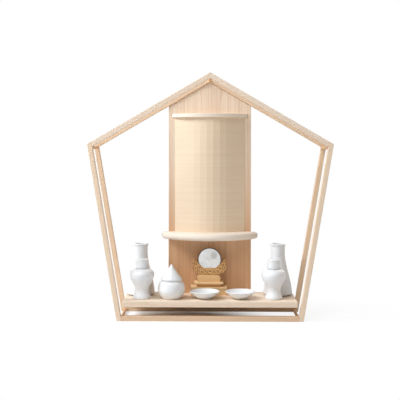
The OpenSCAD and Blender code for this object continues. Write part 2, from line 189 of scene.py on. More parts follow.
def plan_rows(corners, radius, low, high, ease):
    """Rows of a piece whose outline is seen from above: the rounded outline carried
    from low to high and drawn in near both ends."""
    outline, normals = fillet(corners, radius)
    inset, height = eased_ends(low, high, ease)
    flat = outline[None] - normals[None] * inset[:, None, None]
    tall = np.broadcast_to(height[:, None, None], flat.shape[:2] + (1,))
    return np.concatenate([flat, tall], axis=2)


def front_rows(corners, radius, low, high, ease):
    """The same for an outline seen from the front, with low and high in depth."""
    return plan_rows(corners, radius, low, high, ease)[..., [0, 2, 1]]


print("points on one rounded corner:", len(fillet([(0, 0), (1, 0), (0, 1)], 0.1)[0]) // 3)

# %% [markdown]
# Porcelain is thrown or cast as a solid of revolution. Its wall is one closed line
# from the middle of the foot, up the outside, over the lip and down the inside. The
# line is carried round the axis in even steps.

# %% Turned shapes
def turned_rows(profile, centre, turns=112):
    """Surface of revolution of profile[v] = (r, z) about the upright axis through
    centre: (r cos a, r sin a, z) + centre, a from 0 to 360 degrees."""
    angle = np.linspace(0, 2 * np.pi, turns, endpoint=False)
    radius, height = np.asarray(profile, float).T
    x = np.outer(radius, np.cos(angle))
    y = np.outer(radius, np.sin(angle))
    z = np.repeat(height[:, None], turns, axis=1)
    return np.stack([x, y, z], axis=-1) + np.asarray(centre)


def lying_rows(profile, centre, turns=112):
    """The same with the axis pointing back: r stays the radius, z runs along +Y."""
    rows = turned_rows(profile, (0, 0, 0), turns)[..., [0, 2, 1]]
    return rows + np.asarray(centre)


def swell(share):
    """Smooth step from 0 to 1: (1 - cos(180 share)) / 2."""
    return (1 - np.cos(np.pi * np.clip(share, 0, 1))) / 2


def shares_up(turning, below, above):
    """Shares of a height: even steps up to the turning share, then steps that close up
    towards the top, turning + (1 - turning) sin(a), a from 0 to 90 degrees."""
    over = np.sin(np.linspace(0, np.pi / 2, above)[1:])
    return np.concatenate([np.linspace(0, turning, below), turning + (1 - turning) * over])


print("a quarter of the way up a swell:", round(float(swell(0.25)), 3))

# %% [markdown]
# A finished piece stands for its node of the construction and rides on the one body.

# %% Dressing a node
def node_box(node):
    low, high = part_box(node)
    return np.array(low), np.array(high)


def dress(node, rows, material, lids=True, marks=None, crisp=None):
    piece = surface(node + "_finish", rows, lids, marks, crisp)
    piece.data.materials.append(material)
    level = piece.modifiers.new("even_shading", "WEIGHTED_NORMAL")
    level.keep_sharp = True
    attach(piece, "root")
    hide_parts(node)
    return piece


# %% [markdown]
# Colours are written as a painter reads them off a picture, from 0 to 255, and
# turned into the linear light that Blender mixes. Node trees are easier to read
# when a short helper adds a node and fills its inputs.

# %% Colours and node helpers
def tint(red, green, blue):
    """Linear colour: c = value / 255, then ((c + 0.055) / 1.055) ** 2.4."""
    level = (np.array([red, green, blue]) / 255 + 0.055) / 1.055
    return (*(level ** 2.4), 1.0)


def add(tree, kind, inputs=None, **settings):
    made = tree.nodes.new(kind)
    for key, value in settings.items():
        setattr(made, key, value)
    for key, value in (inputs or {}).items():
        if isinstance(value, bpy.types.NodeSocket):
            tree.links.new(value, made.inputs[key])
        else:
            made.inputs[key].default_value = value
    return made


def calc(tree, operation, first, second=0.0, third=0.0, clamp=False):
    made = add(tree, "ShaderNodeMath", {0: first, 1: second, 2: third},
               operation=operation, use_clamp=clamp)
    return made.outputs[0]


def stretch(tree, vector, scale):
    made = add(tree, "ShaderNodeVectorMath", {0: vector, 1: scale}, operation="MULTIPLY")
    return made.outputs[0]


def noise(tree, vector, cells, detail=2.0, roughness=0.5):
    """Soft noise with so many cells per metre along each axis."""
    made = add(tree, "ShaderNodeTexNoise",
               {"Vector": stretch(tree, vector, cells), "Scale": 1.0, "Detail": detail,
                "Roughness": roughness})
    return made.outputs["Fac"]


def ramp(tree, value, start, end, first, last, step="SMOOTHSTEP"):
    """first below start, last beyond end, and a smooth or a linear step between."""
    made = add(tree, "ShaderNodeMapRange",
               {"Value": value, "From Min": start, "From Max": end, "To Min": first,
                "To Max": last}, interpolation_type=step)
    return made.outputs[0]


def blend(tree, share, first, second, way="MIX"):
    made = add(tree, "ShaderNodeMix", {0: share, 6: first, 7: second}, data_type="RGBA",
               blend_type=way)
    return made.outputs[2]


def join(tree, end, results):
    for label, value in results.items():
        tree.links.new(value, end.inputs[label])


print("a middle grey of 188 is", round(float(tint(188, 188, 188)[0]), 3), "in linear light")

# %% [markdown]
# A pattern that several materials share is a node group, and each material holds the
# shader that it feeds. One helper starts each kind and a third joins them.

# %% Groups and materials
def new_group(name, inputs, outputs):
    tree = bpy.data.node_groups.new(name, "ShaderNodeTree")
    for label, kind, value in inputs:
        socket = tree.interface.new_socket(label, in_out="INPUT", socket_type=kind)
        if value is not None:
            socket.default_value = value
    for label, kind in outputs:
        tree.interface.new_socket(label, in_out="OUTPUT", socket_type=kind)
    start = tree.nodes.new("NodeGroupInput")
    end = tree.nodes.new("NodeGroupOutput")
    return tree, start.outputs, end


def new_material(name):
    """Material, its tree, its shader, and the places that a pattern can read."""
    material = bpy.data.materials.new(name)
    material.use_nodes = True
    tree = material.node_tree
    source = add(tree, "ShaderNodeTexCoord").outputs
    return material, tree, tree.nodes["Principled BSDF"], source


def feed(tree, shader, pattern, colour, bump, relief):
    """The pattern's height becomes a bump of the given strength over relief metres."""
    raised = add(tree, "ShaderNodeBump", {"Height": pattern.outputs["Height"],
                                          "Strength": bump, "Distance": relief})
    join(tree, shader, {"Base Color": colour, "Roughness": pattern.outputs["Roughness"],
                        "Normal": raised.outputs[0]})


PATTERN_OUTPUTS = [("Color", "NodeSocketColor"), ("Roughness", "NodeSocketFloat"),
                   ("Height", "NodeSocketFloat")]
print("a pattern group gives", [label for label, kind in PATTERN_OUTPUTS])

# %% [markdown]
# Cypress grows in fine, even rings. Where a saw cuts them they show as straight
# lines on one face and as arches on another. A flat stripe texture would show the
# same lines on every side, so the rings here are solid: the distance from the
# heart of the log, which lies outside the piece, picks early wood or late wood. Noise
# added to the count of rings makes some years wider. Fibres and a slow change of tone
# run the same way, along +Z in the group.

# %% Wood grain group
grain, given, grain_end = new_group(
    "wood_grain",
    [("Vector", "NodeSocketVector", None),
     ("Heart", "NodeSocketVector", (0.05, 0.03, 0.0)),
     ("Ring Gap", "NodeSocketFloat", 0.003),
     ("Wander", "NodeSocketFloat", 0.004),
     ("Early Wood", "NodeSocketColor", tint(240, 218, 188)),
     ("Late Wood", "NodeSocketColor", tint(214, 176, 132)),
     ("Ring Strength", "NodeSocketFloat", 0.5),
     ("Fibre Strength", "NodeSocketFloat", 0.3),
     ("Tone Strength", "NodeSocketFloat", 0.3)],
    PATTERN_OUTPUTS)
UNEVEN_YEARS = 5.0
LATE_WOOD_SHARPNESS = 2.4
YEAR_RUN = 0.37
YEAR_SPREAD = 1.7
PLANED_ROUGHNESS = 0.6

drift = noise(grain, given["Vector"], (9.0, 9.0, 2.2), 3.0)
drift = calc(grain, "MULTIPLY", calc(grain, "SUBTRACT", drift, 0.5), given["Wander"])
from_heart = add(grain, "ShaderNodeVectorMath",
                 {0: given["Vector"], 1: given["Heart"]}, operation="SUBTRACT")
across = stretch(grain, from_heart.outputs[0], (1.0, 1.0, 0.0))
distance = add(grain, "ShaderNodeVectorMath", {0: across}, operation="LENGTH")
distance = calc(grain, "ADD", distance.outputs["Value"], drift)
ring_count = calc(grain, "DIVIDE", distance, given["Ring Gap"])
uneven = noise(grain, given["Vector"], (42.0, 42.0, 1.1))
ring_count = calc(grain, "MULTIPLY_ADD", uneven, UNEVEN_YEARS, ring_count)
ring = calc(grain, "POWER", calc(grain, "FRACT", ring_count), LATE_WOOD_SHARPNESS)
year = add(grain, "ShaderNodeTexNoise",
           {"W": ring_count, "Scale": YEAR_RUN, "Detail": 2.0}, noise_dimensions="1D")
year = calc(grain, "MULTIPLY", year.outputs["Fac"], YEAR_SPREAD)
ring = calc(grain, "MULTIPLY", calc(grain, "MULTIPLY", ring, year), given["Ring Strength"])

fibre = calc(grain, "SUBTRACT", noise(grain, given["Vector"], (620.0, 620.0, 7.0)), 0.5)
tone = calc(grain, "SUBTRACT", noise(grain, given["Vector"], (85.0, 85.0, 1.6)), 0.42)
fibre_share = calc(grain, "MULTIPLY", fibre, given["Fibre Strength"])
tone_share = calc(grain, "MULTIPLY", tone, given["Tone Strength"])
late_share = calc(grain, "ADD", calc(grain, "ADD", ring, fibre_share), tone_share, clamp=True)
gloss = calc(grain, "SUBTRACT", PLANED_ROUGHNESS, calc(grain, "MULTIPLY", ring, 0.12))
join(grain, grain_end, {
    "Color": blend(grain, late_share, given["Early Wood"], given["Late Wood"]),
    "Roughness": calc(grain, "ADD", calc(grain, "MULTIPLY", fibre, 0.2), gloss),
    "Height": calc(grain, "ADD", calc(grain, "MULTIPLY", fibre, 0.6), ring)})
print("wood grain group with", len(grain.nodes), "nodes")

# %% [markdown]
# Each wooden material is the same group with its own colours and its own turn, the
# rotation that brings the piece's grain upright. So a side bar's grain leans with the
# bar and a shelf's lies flat. Where a piece asks for it, painted shade darkens it low
# down, or painted shade darkens its carved cuts.

# %% Wood materials
UPRIGHT = (0.0, 0.0, 0.0)
SIDEWAYS = (0.0, -np.pi / 2, 0.0)
BACKWARDS = (np.pi / 2, 0.0, 0.0)
WOOD_RELIEF = 0.0003
# heights at which the painted shade low on a piece is full and where it ends
LOW_SHADE_FULL_BELOW = 0.12
LOW_SHADE_NONE_ABOVE = 0.42
# painted shade for carved cuts: full at DEEP_CUT of the carving's mark, none at UNCUT
DEEP_CUT = 0.1
UNCUT = 0.6
CUT_SHADE = tint(140, 84, 38)


def wood(name, early, late, turn=UPRIGHT, start=(0.0, 0.0, 0.0), heart=(0.05, 0.03, 0.0),
         gap=0.003, rings=0.5, fibres=0.3, tones=0.3, wander=0.004, bump=0.15,
         follow_sheet=False, shade_cuts=False, painted_low_shade=None):
    """Places, gap and wander are in metres, the strengths run from 0 to 1."""
    material, tree, shader, source = new_material(name)
    mapping = add(tree, "ShaderNodeMapping",
                  {"Vector": source["UV" if follow_sheet else "Object"],
                   "Rotation": turn, "Location": start})
    pattern = add(tree, "ShaderNodeGroup", {
        "Vector": mapping.outputs[0], "Heart": heart, "Ring Gap": gap, "Wander": wander,
        "Early Wood": early, "Late Wood": late, "Ring Strength": rings,
        "Fibre Strength": fibres, "Tone Strength": tones}, node_tree=grain)
    colour = pattern.outputs["Color"]
    # painted shade: the colour is darkened towards the foot, below the half-moon shelf
    if painted_low_shade is not None:
        height = add(tree, "ShaderNodeSeparateXYZ", {0: source["Object"]}).outputs["Z"]
        low_shade = ramp(tree, height, LOW_SHADE_FULL_BELOW, LOW_SHADE_NONE_ABOVE, 1.0, 0.0)
        colour = blend(tree, low_shade, colour, painted_low_shade, "MULTIPLY")
    # painted shade: carved cuts are darkened by their depth
    if shade_cuts:
        cuts = add(tree, "ShaderNodeAttribute", attribute_name="carve").outputs["Fac"]
        depth = ramp(tree, cuts, DEEP_CUT, UNCUT, 0.95, 0.0, "LINEAR")
        colour = blend(tree, depth, colour, CUT_SHADE)
    feed(tree, shader, pattern, colour, bump, WOOD_RELIEF)
    return material


print("grain turns:", UPRIGHT, SIDEWAYS, BACKWARDS)

# %% [markdown]
# The house frame is ten bars of one section. Each is a straight bar with mitred or
# butted ends, so its outline from the front has four corners. The corners are read
# from the construction, so that a bar can never drift from its place. The outer
# corners of the sides, at the floor and the shoulder, are worn rounder than the rest.
# Each bar is cut from another place in the log, so no two show the same grain.

# %% Frame bars
EDGE = 0.0009
WORN_CORNER = 0.0018
TOUCH = 1e-5
APART = 0.005
LOG_STEP = np.array([0.013, 0.007, 0.11])


def front_corners(node):
    """Corners of a straight-sided piece on its front face, anticlockwise, (x, z)."""
    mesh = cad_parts[node].data
    flat = np.empty(len(mesh.vertices) * 3, np.float32)
    mesh.vertices.foreach_get("co", flat)
    points = flat.reshape(-1, 3)
    face = points[points[:, 1] < points[:, 1].min() + TOUCH][:, [0, 2]]
    corners = np.unique(np.round(face, 6), axis=0)
    spread = corners - corners.mean(axis=0)
    return corners[np.argsort(np.arctan2(spread[:, 1], spread[:, 0]))]


def bar_lean(corners):
    """Lean from upright of the longest side: atan2(run, rise)."""
    sides = np.roll(corners, -1, axis=0) - corners
    run, rise = sides[np.argmax(np.linalg.norm(sides, axis=1))]
    return np.arctan2(run, rise)


def dress_bar(node, early, late, order):
    corners = front_corners(node)
    low, high = node_box(node)
    sideways = np.abs(corners[:, 0])
    shoulder = sideways > sideways.max() - TOUCH
    foot = (corners[:, 1] < TOUCH) & (sideways > sideways.min() + APART)
    radius = np.where((foot | shoulder) & ("side" in node), WORN_CORNER, EDGE)
    finish = wood("cypress_" + node, early, late, turn=(0.0, -bar_lean(corners), 0.0),
                  start=order * LOG_STEP, heart=(0.03, 0.06, 0.0), gap=0.0042, rings=0.22,
                  fibres=0.12, tones=0.5, bump=0.08)
    return dress(node, front_rows(corners, radius, low[1], high[1], EDGE), finish)


FRAME_BARS = ["roof_bar_left", "roof_bar_right", "side_bar_left", "side_bar_right",
              "bottom_bar"]
BAR_TONES = {"roof": ((243, 222, 200), (222, 188, 156)),
             "side": ((242, 217, 190), (218, 182, 144)),
             "bottom": ((229, 197, 165), (202, 160, 120))}
REAR_TONES = ((240, 208, 174), (212, 166, 124))
for order, bar in enumerate(FRAME_BARS):
    early, late = BAR_TONES[bar.split("_")[0]]
    dress_bar("front_" + bar, tint(*early), tint(*late), order)
    dress_bar("rear_" + bar, tint(*REAR_TONES[0]), tint(*REAR_TONES[1]), order + 6)
print("bars dressed:", 2 * len(FRAME_BARS))

# %% [markdown]
# Five round dowels hold the two frames apart. They are turned rods with a small
# chamfer at each end, and their grain runs from front to back.

# %% Dowels
DOWELS = ["ridge_dowel", "shoulder_dowel_left", "shoulder_dowel_right",
          "bottom_dowel_left", "bottom_dowel_right"]
dowel_finish = wood("dowel_wood", tint(226, 178, 130), tint(190, 132, 84), turn=BACKWARDS,
                    gap=0.0016, rings=0.6, fibres=0.5)


def dowel_profile(radius, length, chamfer=0.0003):
    return np.array([[0, 0], [radius - chamfer, 0], [radius, chamfer],
                     [radius, length - chamfer], [radius - chamfer, length], [0, length]])


for node in DOWELS:
    low, high = node_box(node)
    middle = (low + high) / 2
    profile = dowel_profile((high[0] - low[0]) / 2, high[1] - low[1])
    dress(node, lying_rows(profile, (middle[0], low[1], middle[2]), 40), dowel_finish,
          lids=False)
print("dowels dressed:", len(DOWELS))

# %% [markdown]
# The back board is one wide plank that follows the gable. A plank this wide is sawn
# flat, so its rings open into long arches. Its tone is warmer than the bars', and
# painted shade darkens it towards its foot, under the half-moon shelf.

# %% Back board
# the last colour is painted shade, which darkens the board's lower part
board_finish = wood("cypress_board", tint(246, 224, 200), tint(208, 164, 124),
                    heart=(0.02, 0.045, 0.0), gap=0.0085, rings=0.36, fibres=0.16,
                    tones=0.7, wander=0.02, painted_low_shade=tint(232, 203, 174))
low, high = node_box("back_board")
dress("back_board", front_rows(front_corners("back_board"), EDGE, low[1], high[1], EDGE),
      board_finish)
print("board's width and height:", np.round(high - low, 4)[[0, 2]])

# %% [markdown]
# The offering shelf is a plain slab. Its edges are eased by a block plane, and the
# grain runs from side to side.

# %% Offering shelf
NOTCH_PLAY = 0.0002
SHELF_EASE = 0.0012


def rectangle(low, high):
    return np.array([[low[0], low[1]], [high[0], low[1]], [high[0], high[1]],
                     [low[0], high[1]]])


def notched(low, high, cut_low, cut_high):
    """The slab's outline from above, with the back board's notch."""
    slab = rectangle(low, high)
    notch = rectangle([cut_low[0] - NOTCH_PLAY, cut_low[1]],
                      [cut_high[0] + NOTCH_PLAY, high[1]])
    return np.concatenate([slab[:3], notch[[2, 1, 0, 3]], slab[3:]])


shelf_finish = wood("cypress_shelf", tint(244, 223, 200), tint(220, 185, 152),
                    turn=SIDEWAYS, heart=(0.10, 0.03, 0.0), gap=0.0052, rings=0.3,
                    fibres=0.2, tones=0.5, wander=0.010)
low, high = node_box("offering_shelf")
shelf_plan = notched(low, high, *node_box("back_board"))
shelf_radius = np.array([EDGE] * 3 + [NOTCH_PLAY] * 4 + [EDGE])
dress("offering_shelf", plan_rows(shelf_plan, shelf_radius, low[2], high[2], SHELF_EASE),
      shelf_finish)
print("shelf outline corners:", len(shelf_plan))

# %% [markdown]
# The half-moon shelf has a fully rounded front. Seen from above it is the part of
# a disc in front of the board. Each row is one arc of that disc, and its radius
# follows a half ellipse from the lower face, round the edge, to the upper face. The
# cover's cap has the same plan with upright sides and eased edges.

# %% Half-moon shelf and cap
def moon_rows(low, high, inset, height, columns=97):
    """Part of a disc of width w and reach r: its radius is R = (w*w/4 + r*r) / (2 r).
    Each row is the arc of radius R - inset at its height, and ends at the board."""
    width, reach = (high - low)[:2]
    full = (width * width / 4 + reach * reach) / (2 * reach)
    back = full - reach
    radius = full - inset[:, None]
    sweep = np.arccos(back / radius) * np.linspace(-1, 1, columns)[None]
    x = radius * np.sin(sweep)
    y = back - radius * np.cos(sweep)
    z = np.broadcast_to(height[:, None], x.shape)
    middle = np.array([(low[0] + high[0]) / 2, high[1], low[2]])
    return np.stack([x, y, z], axis=-1) + middle


def rolled_edge(thick, edge, steps=41):
    """At the angle a from the lower face round to the upper one, the inset is
    edge * (1 - q(cos a)) and the height t/2 * (1 + q(sin a)), q(v) = sign(v) |v|^0.85."""
    angle = np.arcsin(np.linspace(-1, 1, steps))
    outwards = np.abs(np.cos(angle)) ** 0.85
    upwards = np.sign(angle) * np.abs(np.sin(angle)) ** 0.85
    return edge * (1 - outwards), thick / 2 * (1 + upwards)


MOON_EDGE = 0.012
CAP_EASE = 0.0012
moon_finish = wood("cypress_half_moon", tint(248, 234, 218), tint(228, 200, 172),
                   turn=SIDEWAYS, heart=(0.26, 0.02, 0.0), gap=0.0048, rings=0.32,
                   fibres=0.2, tones=0.4, wander=0.006)
low, high = node_box("half_moon_shelf")
dress("half_moon_shelf", moon_rows(low, high, *rolled_edge(high[2] - low[2], MOON_EDGE)),
      moon_finish)
low, high = node_box("cover_cap")
dress("cover_cap", moon_rows(low, high, *eased_ends(0.0, high[2] - low[2], CAP_EASE)),
      moon_finish)
print("cap reaches", round(float(high[1] - low[1]), 4), "m from the board")

# %% [markdown]
# The talisman's cover is one thin sheet bent round a nose of narrow facets. The
# facets come from shallow cuts on the inside, so the bends are crisp outside. The
# sheet's plan is an outline that goes out along the outer face and back along the
# inner one. Its grain runs sideways round the bends, so the pattern follows the
# sheet's own UV map and not space.

# %% Bent cover
FACET = 0.0155
FACET_TURN = np.radians(9)
WING_SLANT = np.radians(25)
SHEET = 0.004
BEND_ROUND = 0.0012
SHEET_EASE = 0.0004
SHEET_ENDS = [0, 7, 8, 15]


def half_plan(width, inset):
    """Bends of the sheet from the middle outwards, moved in by inset along the line
    that halves each bend, and the wing's end on the board."""
    slope = np.array([0, FACET_TURN, 2 * FACET_TURN, WING_SLANT])
    x = np.array([0.5, 1.5, 2.5]) * FACET
    reach = FACET * np.tan(slope[1:3]).sum() + (width / 2 - x[2]) * np.tan(WING_SLANT)
    y = -reach + np.concatenate([[0], np.cumsum(FACET * np.tan(slope[1:3]))])
    middle = (slope[:-1] + slope[1:]) / 2
    half = (slope[1:] - slope[:-1]) / 2
    shift = inset / np.cos(half)
    bends = np.stack([x - shift * np.sin(middle), y + shift * np.cos(middle)], axis=1)
    end = width / 2 - inset / np.sin(WING_SLANT)
    return np.concatenate([bends, [[end, 0.0]]])


def both_sides(half):
    return np.concatenate([half[::-1] * [-1, 1], half])


low, high = node_box("bent_cover")
cover_width = high[0] - low[0]
outer = both_sides(half_plan(cover_width, 0.0))
inner = both_sides(half_plan(cover_width, SHEET))
cover_plan = np.concatenate([outer, inner[::-1]])
cover_plan = cover_plan + [(low[0] + high[0]) / 2, high[1]]
bend_radius = np.full(len(cover_plan), BEND_ROUND)
bend_radius[SHEET_ENDS] = SHEET_EASE
cover_finish = wood("cypress_cover", tint(244, 221, 192), tint(220, 184, 146),
                    turn=SIDEWAYS, heart=(0.004, -0.08, 0.0), gap=0.0062, rings=0.15,
                    fibres=0.22, tones=0.4, wander=0.006, bump=0.1, follow_sheet=True)
dress("bent_cover", plan_rows(cover_plan, bend_radius, low[2], high[2], SHEET_EASE),
      cover_finish)
print("cover reaches", round(float(high[1] - low[1]), 4), "m from the board")

# %% [markdown]
# The mirror stands on four slabs and a shouldered block of honey-coloured wood. They
# are plain sawn blocks, stacked by size, so each is an outline with eased edges. The
# shoulders of the block are read from the construction.

# %% Mirror stand
SLAB_EASE = 0.0005
STAND_SLABS = ["stand_foot_block", "stand_low_plate", "stand_riser", "stand_top_plate"]
BLOCK_STEP = np.array([0.02, 0.005, 0.01])
STAND_TONES = {"stand_foot_block": ((234, 196, 146), (208, 160, 106)),
               "stand_low_plate": ((238, 204, 154), (214, 168, 114)),
               # the riser's darker tones are painted shade under the top plate's overhang
               "stand_riser": ((232, 176, 112), (202, 142, 82)),
               "stand_top_plate": ((240, 206, 156), (216, 170, 116)),
               "stand_block": ((234, 192, 140), (204, 152, 98)),
               "mirror_cloud": ((234, 188, 128), (206, 152, 90))}


def stand_finish(node, order, **more):
    early, late = STAND_TONES[node]
    return wood("honey_" + node, tint(*early), tint(*late), turn=SIDEWAYS,
                start=order * BLOCK_STEP,
                heart=(0.06, 0.02, 0.0), gap=0.0021, rings=0.55, fibres=0.3, tones=0.5,
                wander=0.006, **more)


for order, node in enumerate(STAND_SLABS):
    low, high = node_box(node)
    rows = plan_rows(rectangle(low, high), SLAB_EASE, low[2], high[2], SLAB_EASE)
    dress(node, rows, stand_finish(node, order))
low, high = node_box("stand_block")
rows = front_rows(front_corners("stand_block"), SLAB_EASE, low[1], high[1], SLAB_EASE)
dress("stand_block", rows, stand_finish("stand_block", 5))
print("stand blocks dressed:", len(STAND_SLABS) + 1)

# %% [markdown]
# The carved cloud is one piece of wood with rolling scrolls on its face and a groove
# that the mirror stands in. Sculpting it by hand would be slow and hard to repeat. In
# polar form about a point near the mirror's middle it is a band between two edges, and
# each is a formula: a distance in millimetres for the degrees from straight down.

# %% Cloud outline
CLOUD_MIDDLE = 31.0
CLOUD_END = 101.0
CLOUD_SPAN = 81.4
CLOUD_RISE = 38.6


def cloud_outside(angle):
    """Outer edge in mm: 39.2 + 1.5 sin(180 (a - 81) / 20) above 81 degrees, below it
    39.2 + 4.2 |sin(180 (81 - a) / 38)|, and never lower than the flat foot."""
    a = np.abs(angle)
    upper = 1.5 * np.sin(np.pi * (a - 81) / 20)
    lower = 4.2 * np.abs(np.sin(np.pi * (81 - a) / 38))
    edge = 39.2 + np.where(a > 81, upper, lower)
    foot = CLOUD_MIDDLE / np.cos(np.radians(np.minimum(a, 80)))
    return np.where(a < 80, np.minimum(edge, foot), edge)


def cloud_inside(angle):
    """Inner edge in mm: the nearer of the flat floor 14.8 / cos(a) and the straight
    flank 20.9 / cos(a - 43.9)."""
    a = np.abs(angle)
    floor_line = 14.8 / np.cos(np.radians(np.minimum(a, 84)))
    flank = 20.9 / np.cos(np.radians(a - 43.9))
    return np.where(a < 84, np.minimum(floor_line, flank), flank)


def seat_radius(angle, radius, rise):
    """Distance from the polar point to a circle whose centre is higher by rise:
    r = -rise cos(a) + sqrt(radius^2 - rise^2 sin(a)^2)."""
    a = np.radians(angle)
    return -rise * np.cos(a) + np.sqrt(radius ** 2 - (rise * np.sin(a)) ** 2)


print("the cloud's edge at 60 degrees:", np.round([cloud_inside(60), cloud_outside(60)], 1))

# %% [markdown]
# The scrolls are a height field over the front face, and the left half mirrors the
# right. Each is a rounded curl with one turn of a spiral groove and a drilled eye. The
# height also goes to the mesh as a mark, so the material can paint shade in the cuts.

# %% Scrolls
# Columns: x, z and radius in mm, and the hand of the spiral.
CURLS = np.array([(10.0, 8.8, 5.2, -1), (19.4, 7.0, 5.6, 1), (28.6, 7.0, 5.2, -1),
                  (24.4, 16.8, 5.6, -1), (34.2, 16.4, 5.2, 1), (31.6, 25.0, 5.0, -1),
                  (37.4, 30.0, 4.2, 1), (38.2, 36.6, 3.0, -1)])
SCROLLS = np.concatenate([[(0.6, 7.6, 6.2, 1)], CURLS, CURLS * [-1, 1, 1, -1]])


def scroll_relief(x, z):
    """Height of the carving from 0 to 1. At the share d of a scroll's radius and the
    angle t, a rounded curl 0.5 + 0.5 sqrt(1 - d^2) is cut by one turn of a spiral
    groove, where 1.2 d - s t / (2 pi) comes to a whole number and a half, and by a
    drilled eye at d < 0.33. The nearest scroll wins, and between them it is 0.5."""
    away_x = x[..., None] - SCROLLS[:, 0]
    away_z = z[..., None] - SCROLLS[:, 1]
    share = np.hypot(away_x, away_z) / SCROLLS[:, 2]
    first = np.argmin(share, axis=-1)[..., None]
    turn = np.arctan2(away_z, away_x)
    share = np.take_along_axis(share, first, axis=-1)[..., 0]
    turn = np.take_along_axis(turn, first, axis=-1)[..., 0]
    hand = SCROLLS[first[..., 0], 3]
    wind = 1.2 * share - hand * turn / (2 * np.pi)
    off_line = np.abs(wind - np.round(wind - 0.5) - 0.5)
    groove = np.exp(-(off_line / 0.2) ** 2) * np.clip((1.15 - share) / 0.15, 0, 1)
    eye = np.exp(-(share / 0.33) ** 4)
    crown = 0.5 + 0.5 * np.sqrt(np.clip(1 - share ** 2, 0, 1))
    return crown * (1 - 0.95 * np.maximum(groove, eye))


print("scrolls on the cloud:", len(SCROLLS))

# %% [markdown]
# The grid goes round the band's section: the carved face, the outer side, the plain
# back, and the inner side with the groove for the mirror's ring. It is worked out in
# the cloud's own millimetres and stretched to the construction.

# %% Carved cloud
GROOVE = 0.0056
MIRROR_PLAY = 0.0003
FACE_COLUMNS = 72
CARVE_DEPTH = 0.0022
FACE_DROP = 0.003
FACE_FADE = 1.6
TIP_FADE = 2.5


def cloud_section(node, steps=420):
    """Grid of angle by place round the section, and the carving's mark on it. The
    relief fades by a square root within FACE_FADE mm of an edge, and evenly within
    TIP_FADE degrees of a tip."""
    low, high = node_box(node)
    wide = (high[0] - low[0]) * 1000 / CLOUD_SPAN
    tall = (high[2] - low[2]) * 1000 / CLOUD_RISE
    middle = (low + high) / 2
    half = (high[1] - low[1]) / 2
    ring_low, ring_high = node_box("mirror_rim")
    seat = ((ring_high[2] - ring_low[2]) / 2 + MIRROR_PLAY) * 1000
    rise = ((ring_high[2] + ring_low[2]) / 2 - low[2]) * 1000 / tall - CLOUD_MIDDLE
    angle = np.linspace(-CLOUD_END, CLOUD_END, steps)[:, None]
    inside = cloud_inside(angle)
    outside = cloud_outside(angle)
    seat = np.maximum(inside, seat_radius(angle, seat, rise))
    across = np.linspace(0, 1, FACE_COLUMNS)[None]
    face = inside + (outside - inside) * across
    x = face * np.sin(np.radians(angle))
    z = CLOUD_MIDDLE - face * np.cos(np.radians(angle))
    margin = np.minimum(across, 1 - across) * (outside - inside)
    margin = np.clip(margin / FACE_FADE, 0, 1)
    tip = np.clip((CLOUD_END - np.abs(angle)) / TIP_FADE, 0, 1)
    relief = scroll_relief(x, z) * np.sqrt(margin) * tip
    front = -half + CARVE_DEPTH * (1 - relief)
    flat = np.ones_like(angle)
    inner_side = [(inside, GROOVE / 2), (seat, GROOVE / 2), (seat, -GROOVE / 2),
                  (inside, -GROOVE / 2), (inside, -half + FACE_DROP)]
    radius = [face, outside, face[:, ::-1]] + [place for place, _ in inner_side]
    depth = [front, flat * (-half + FACE_DROP), np.full_like(face, half)]
    depth += [flat * y for _, y in inner_side]
    radius = np.concatenate(radius, axis=1)
    carve = np.full_like(radius, UNCUT)
    carve[:, :FACE_COLUMNS] = relief
    rows = np.stack([radius * np.sin(np.radians(angle)) * wide / 1000 + middle[0],
                     np.concatenate(depth, axis=1) + middle[1],
                     (CLOUD_MIDDLE - radius * np.cos(np.radians(angle))) * tall / 1000
                     + low[2]], axis=-1)
    return rows, carve


cloud_rows, cloud_carve = cloud_section("mirror_cloud")
# the carving's mark paints shade into the cloud's cuts
dress("mirror_cloud", cloud_rows, stand_finish("mirror_cloud", 6, shade_cuts=True),
      marks=cloud_carve, crisp=35)
print("cloud grid", cloud_rows.shape[:2])

# %% [markdown]
# The mirror is a polished metal disc in a dark ring. A flat disc would reflect one even
# colour, and a real one is ground a little convex, which spreads the reflection. So its
# face rises by a third of a millimetre in the middle. The polish is hazed in patches,
# and the colour is darker in one round spot at the upper right.

# %% Mirror disc
MIRROR_SWELL = 0.0003
DARK_SPOT = (0.011, 0.010)

low, high = node_box("mirror_disc")
disc_radius = (high[0] - low[0]) / 2
disc_middle = ((low[0] + high[0]) / 2, low[1], (low[2] + high[2]) / 2)
share = np.linspace(0, 1, 24)
disc_face = np.stack([disc_radius * share, -MIRROR_SWELL * (1 - share ** 2)], axis=1)
disc_back = np.array([[disc_radius, high[1] - low[1]], [0.0, high[1] - low[1]]])

mirror_metal, tree, shader, source = new_material("mirror_metal")
veil = noise(tree, source["Object"], (46.0, 20.0, 60.0), 3.0, 0.55)
wipe = noise(tree, source["Object"], (300.0, 20.0, 90.0), 2.0, 0.6)
haze_and_dark_spot = calc(tree, "MULTIPLY_ADD", veil, 0.75, calc(tree, "MULTIPLY", wipe, 0.25))
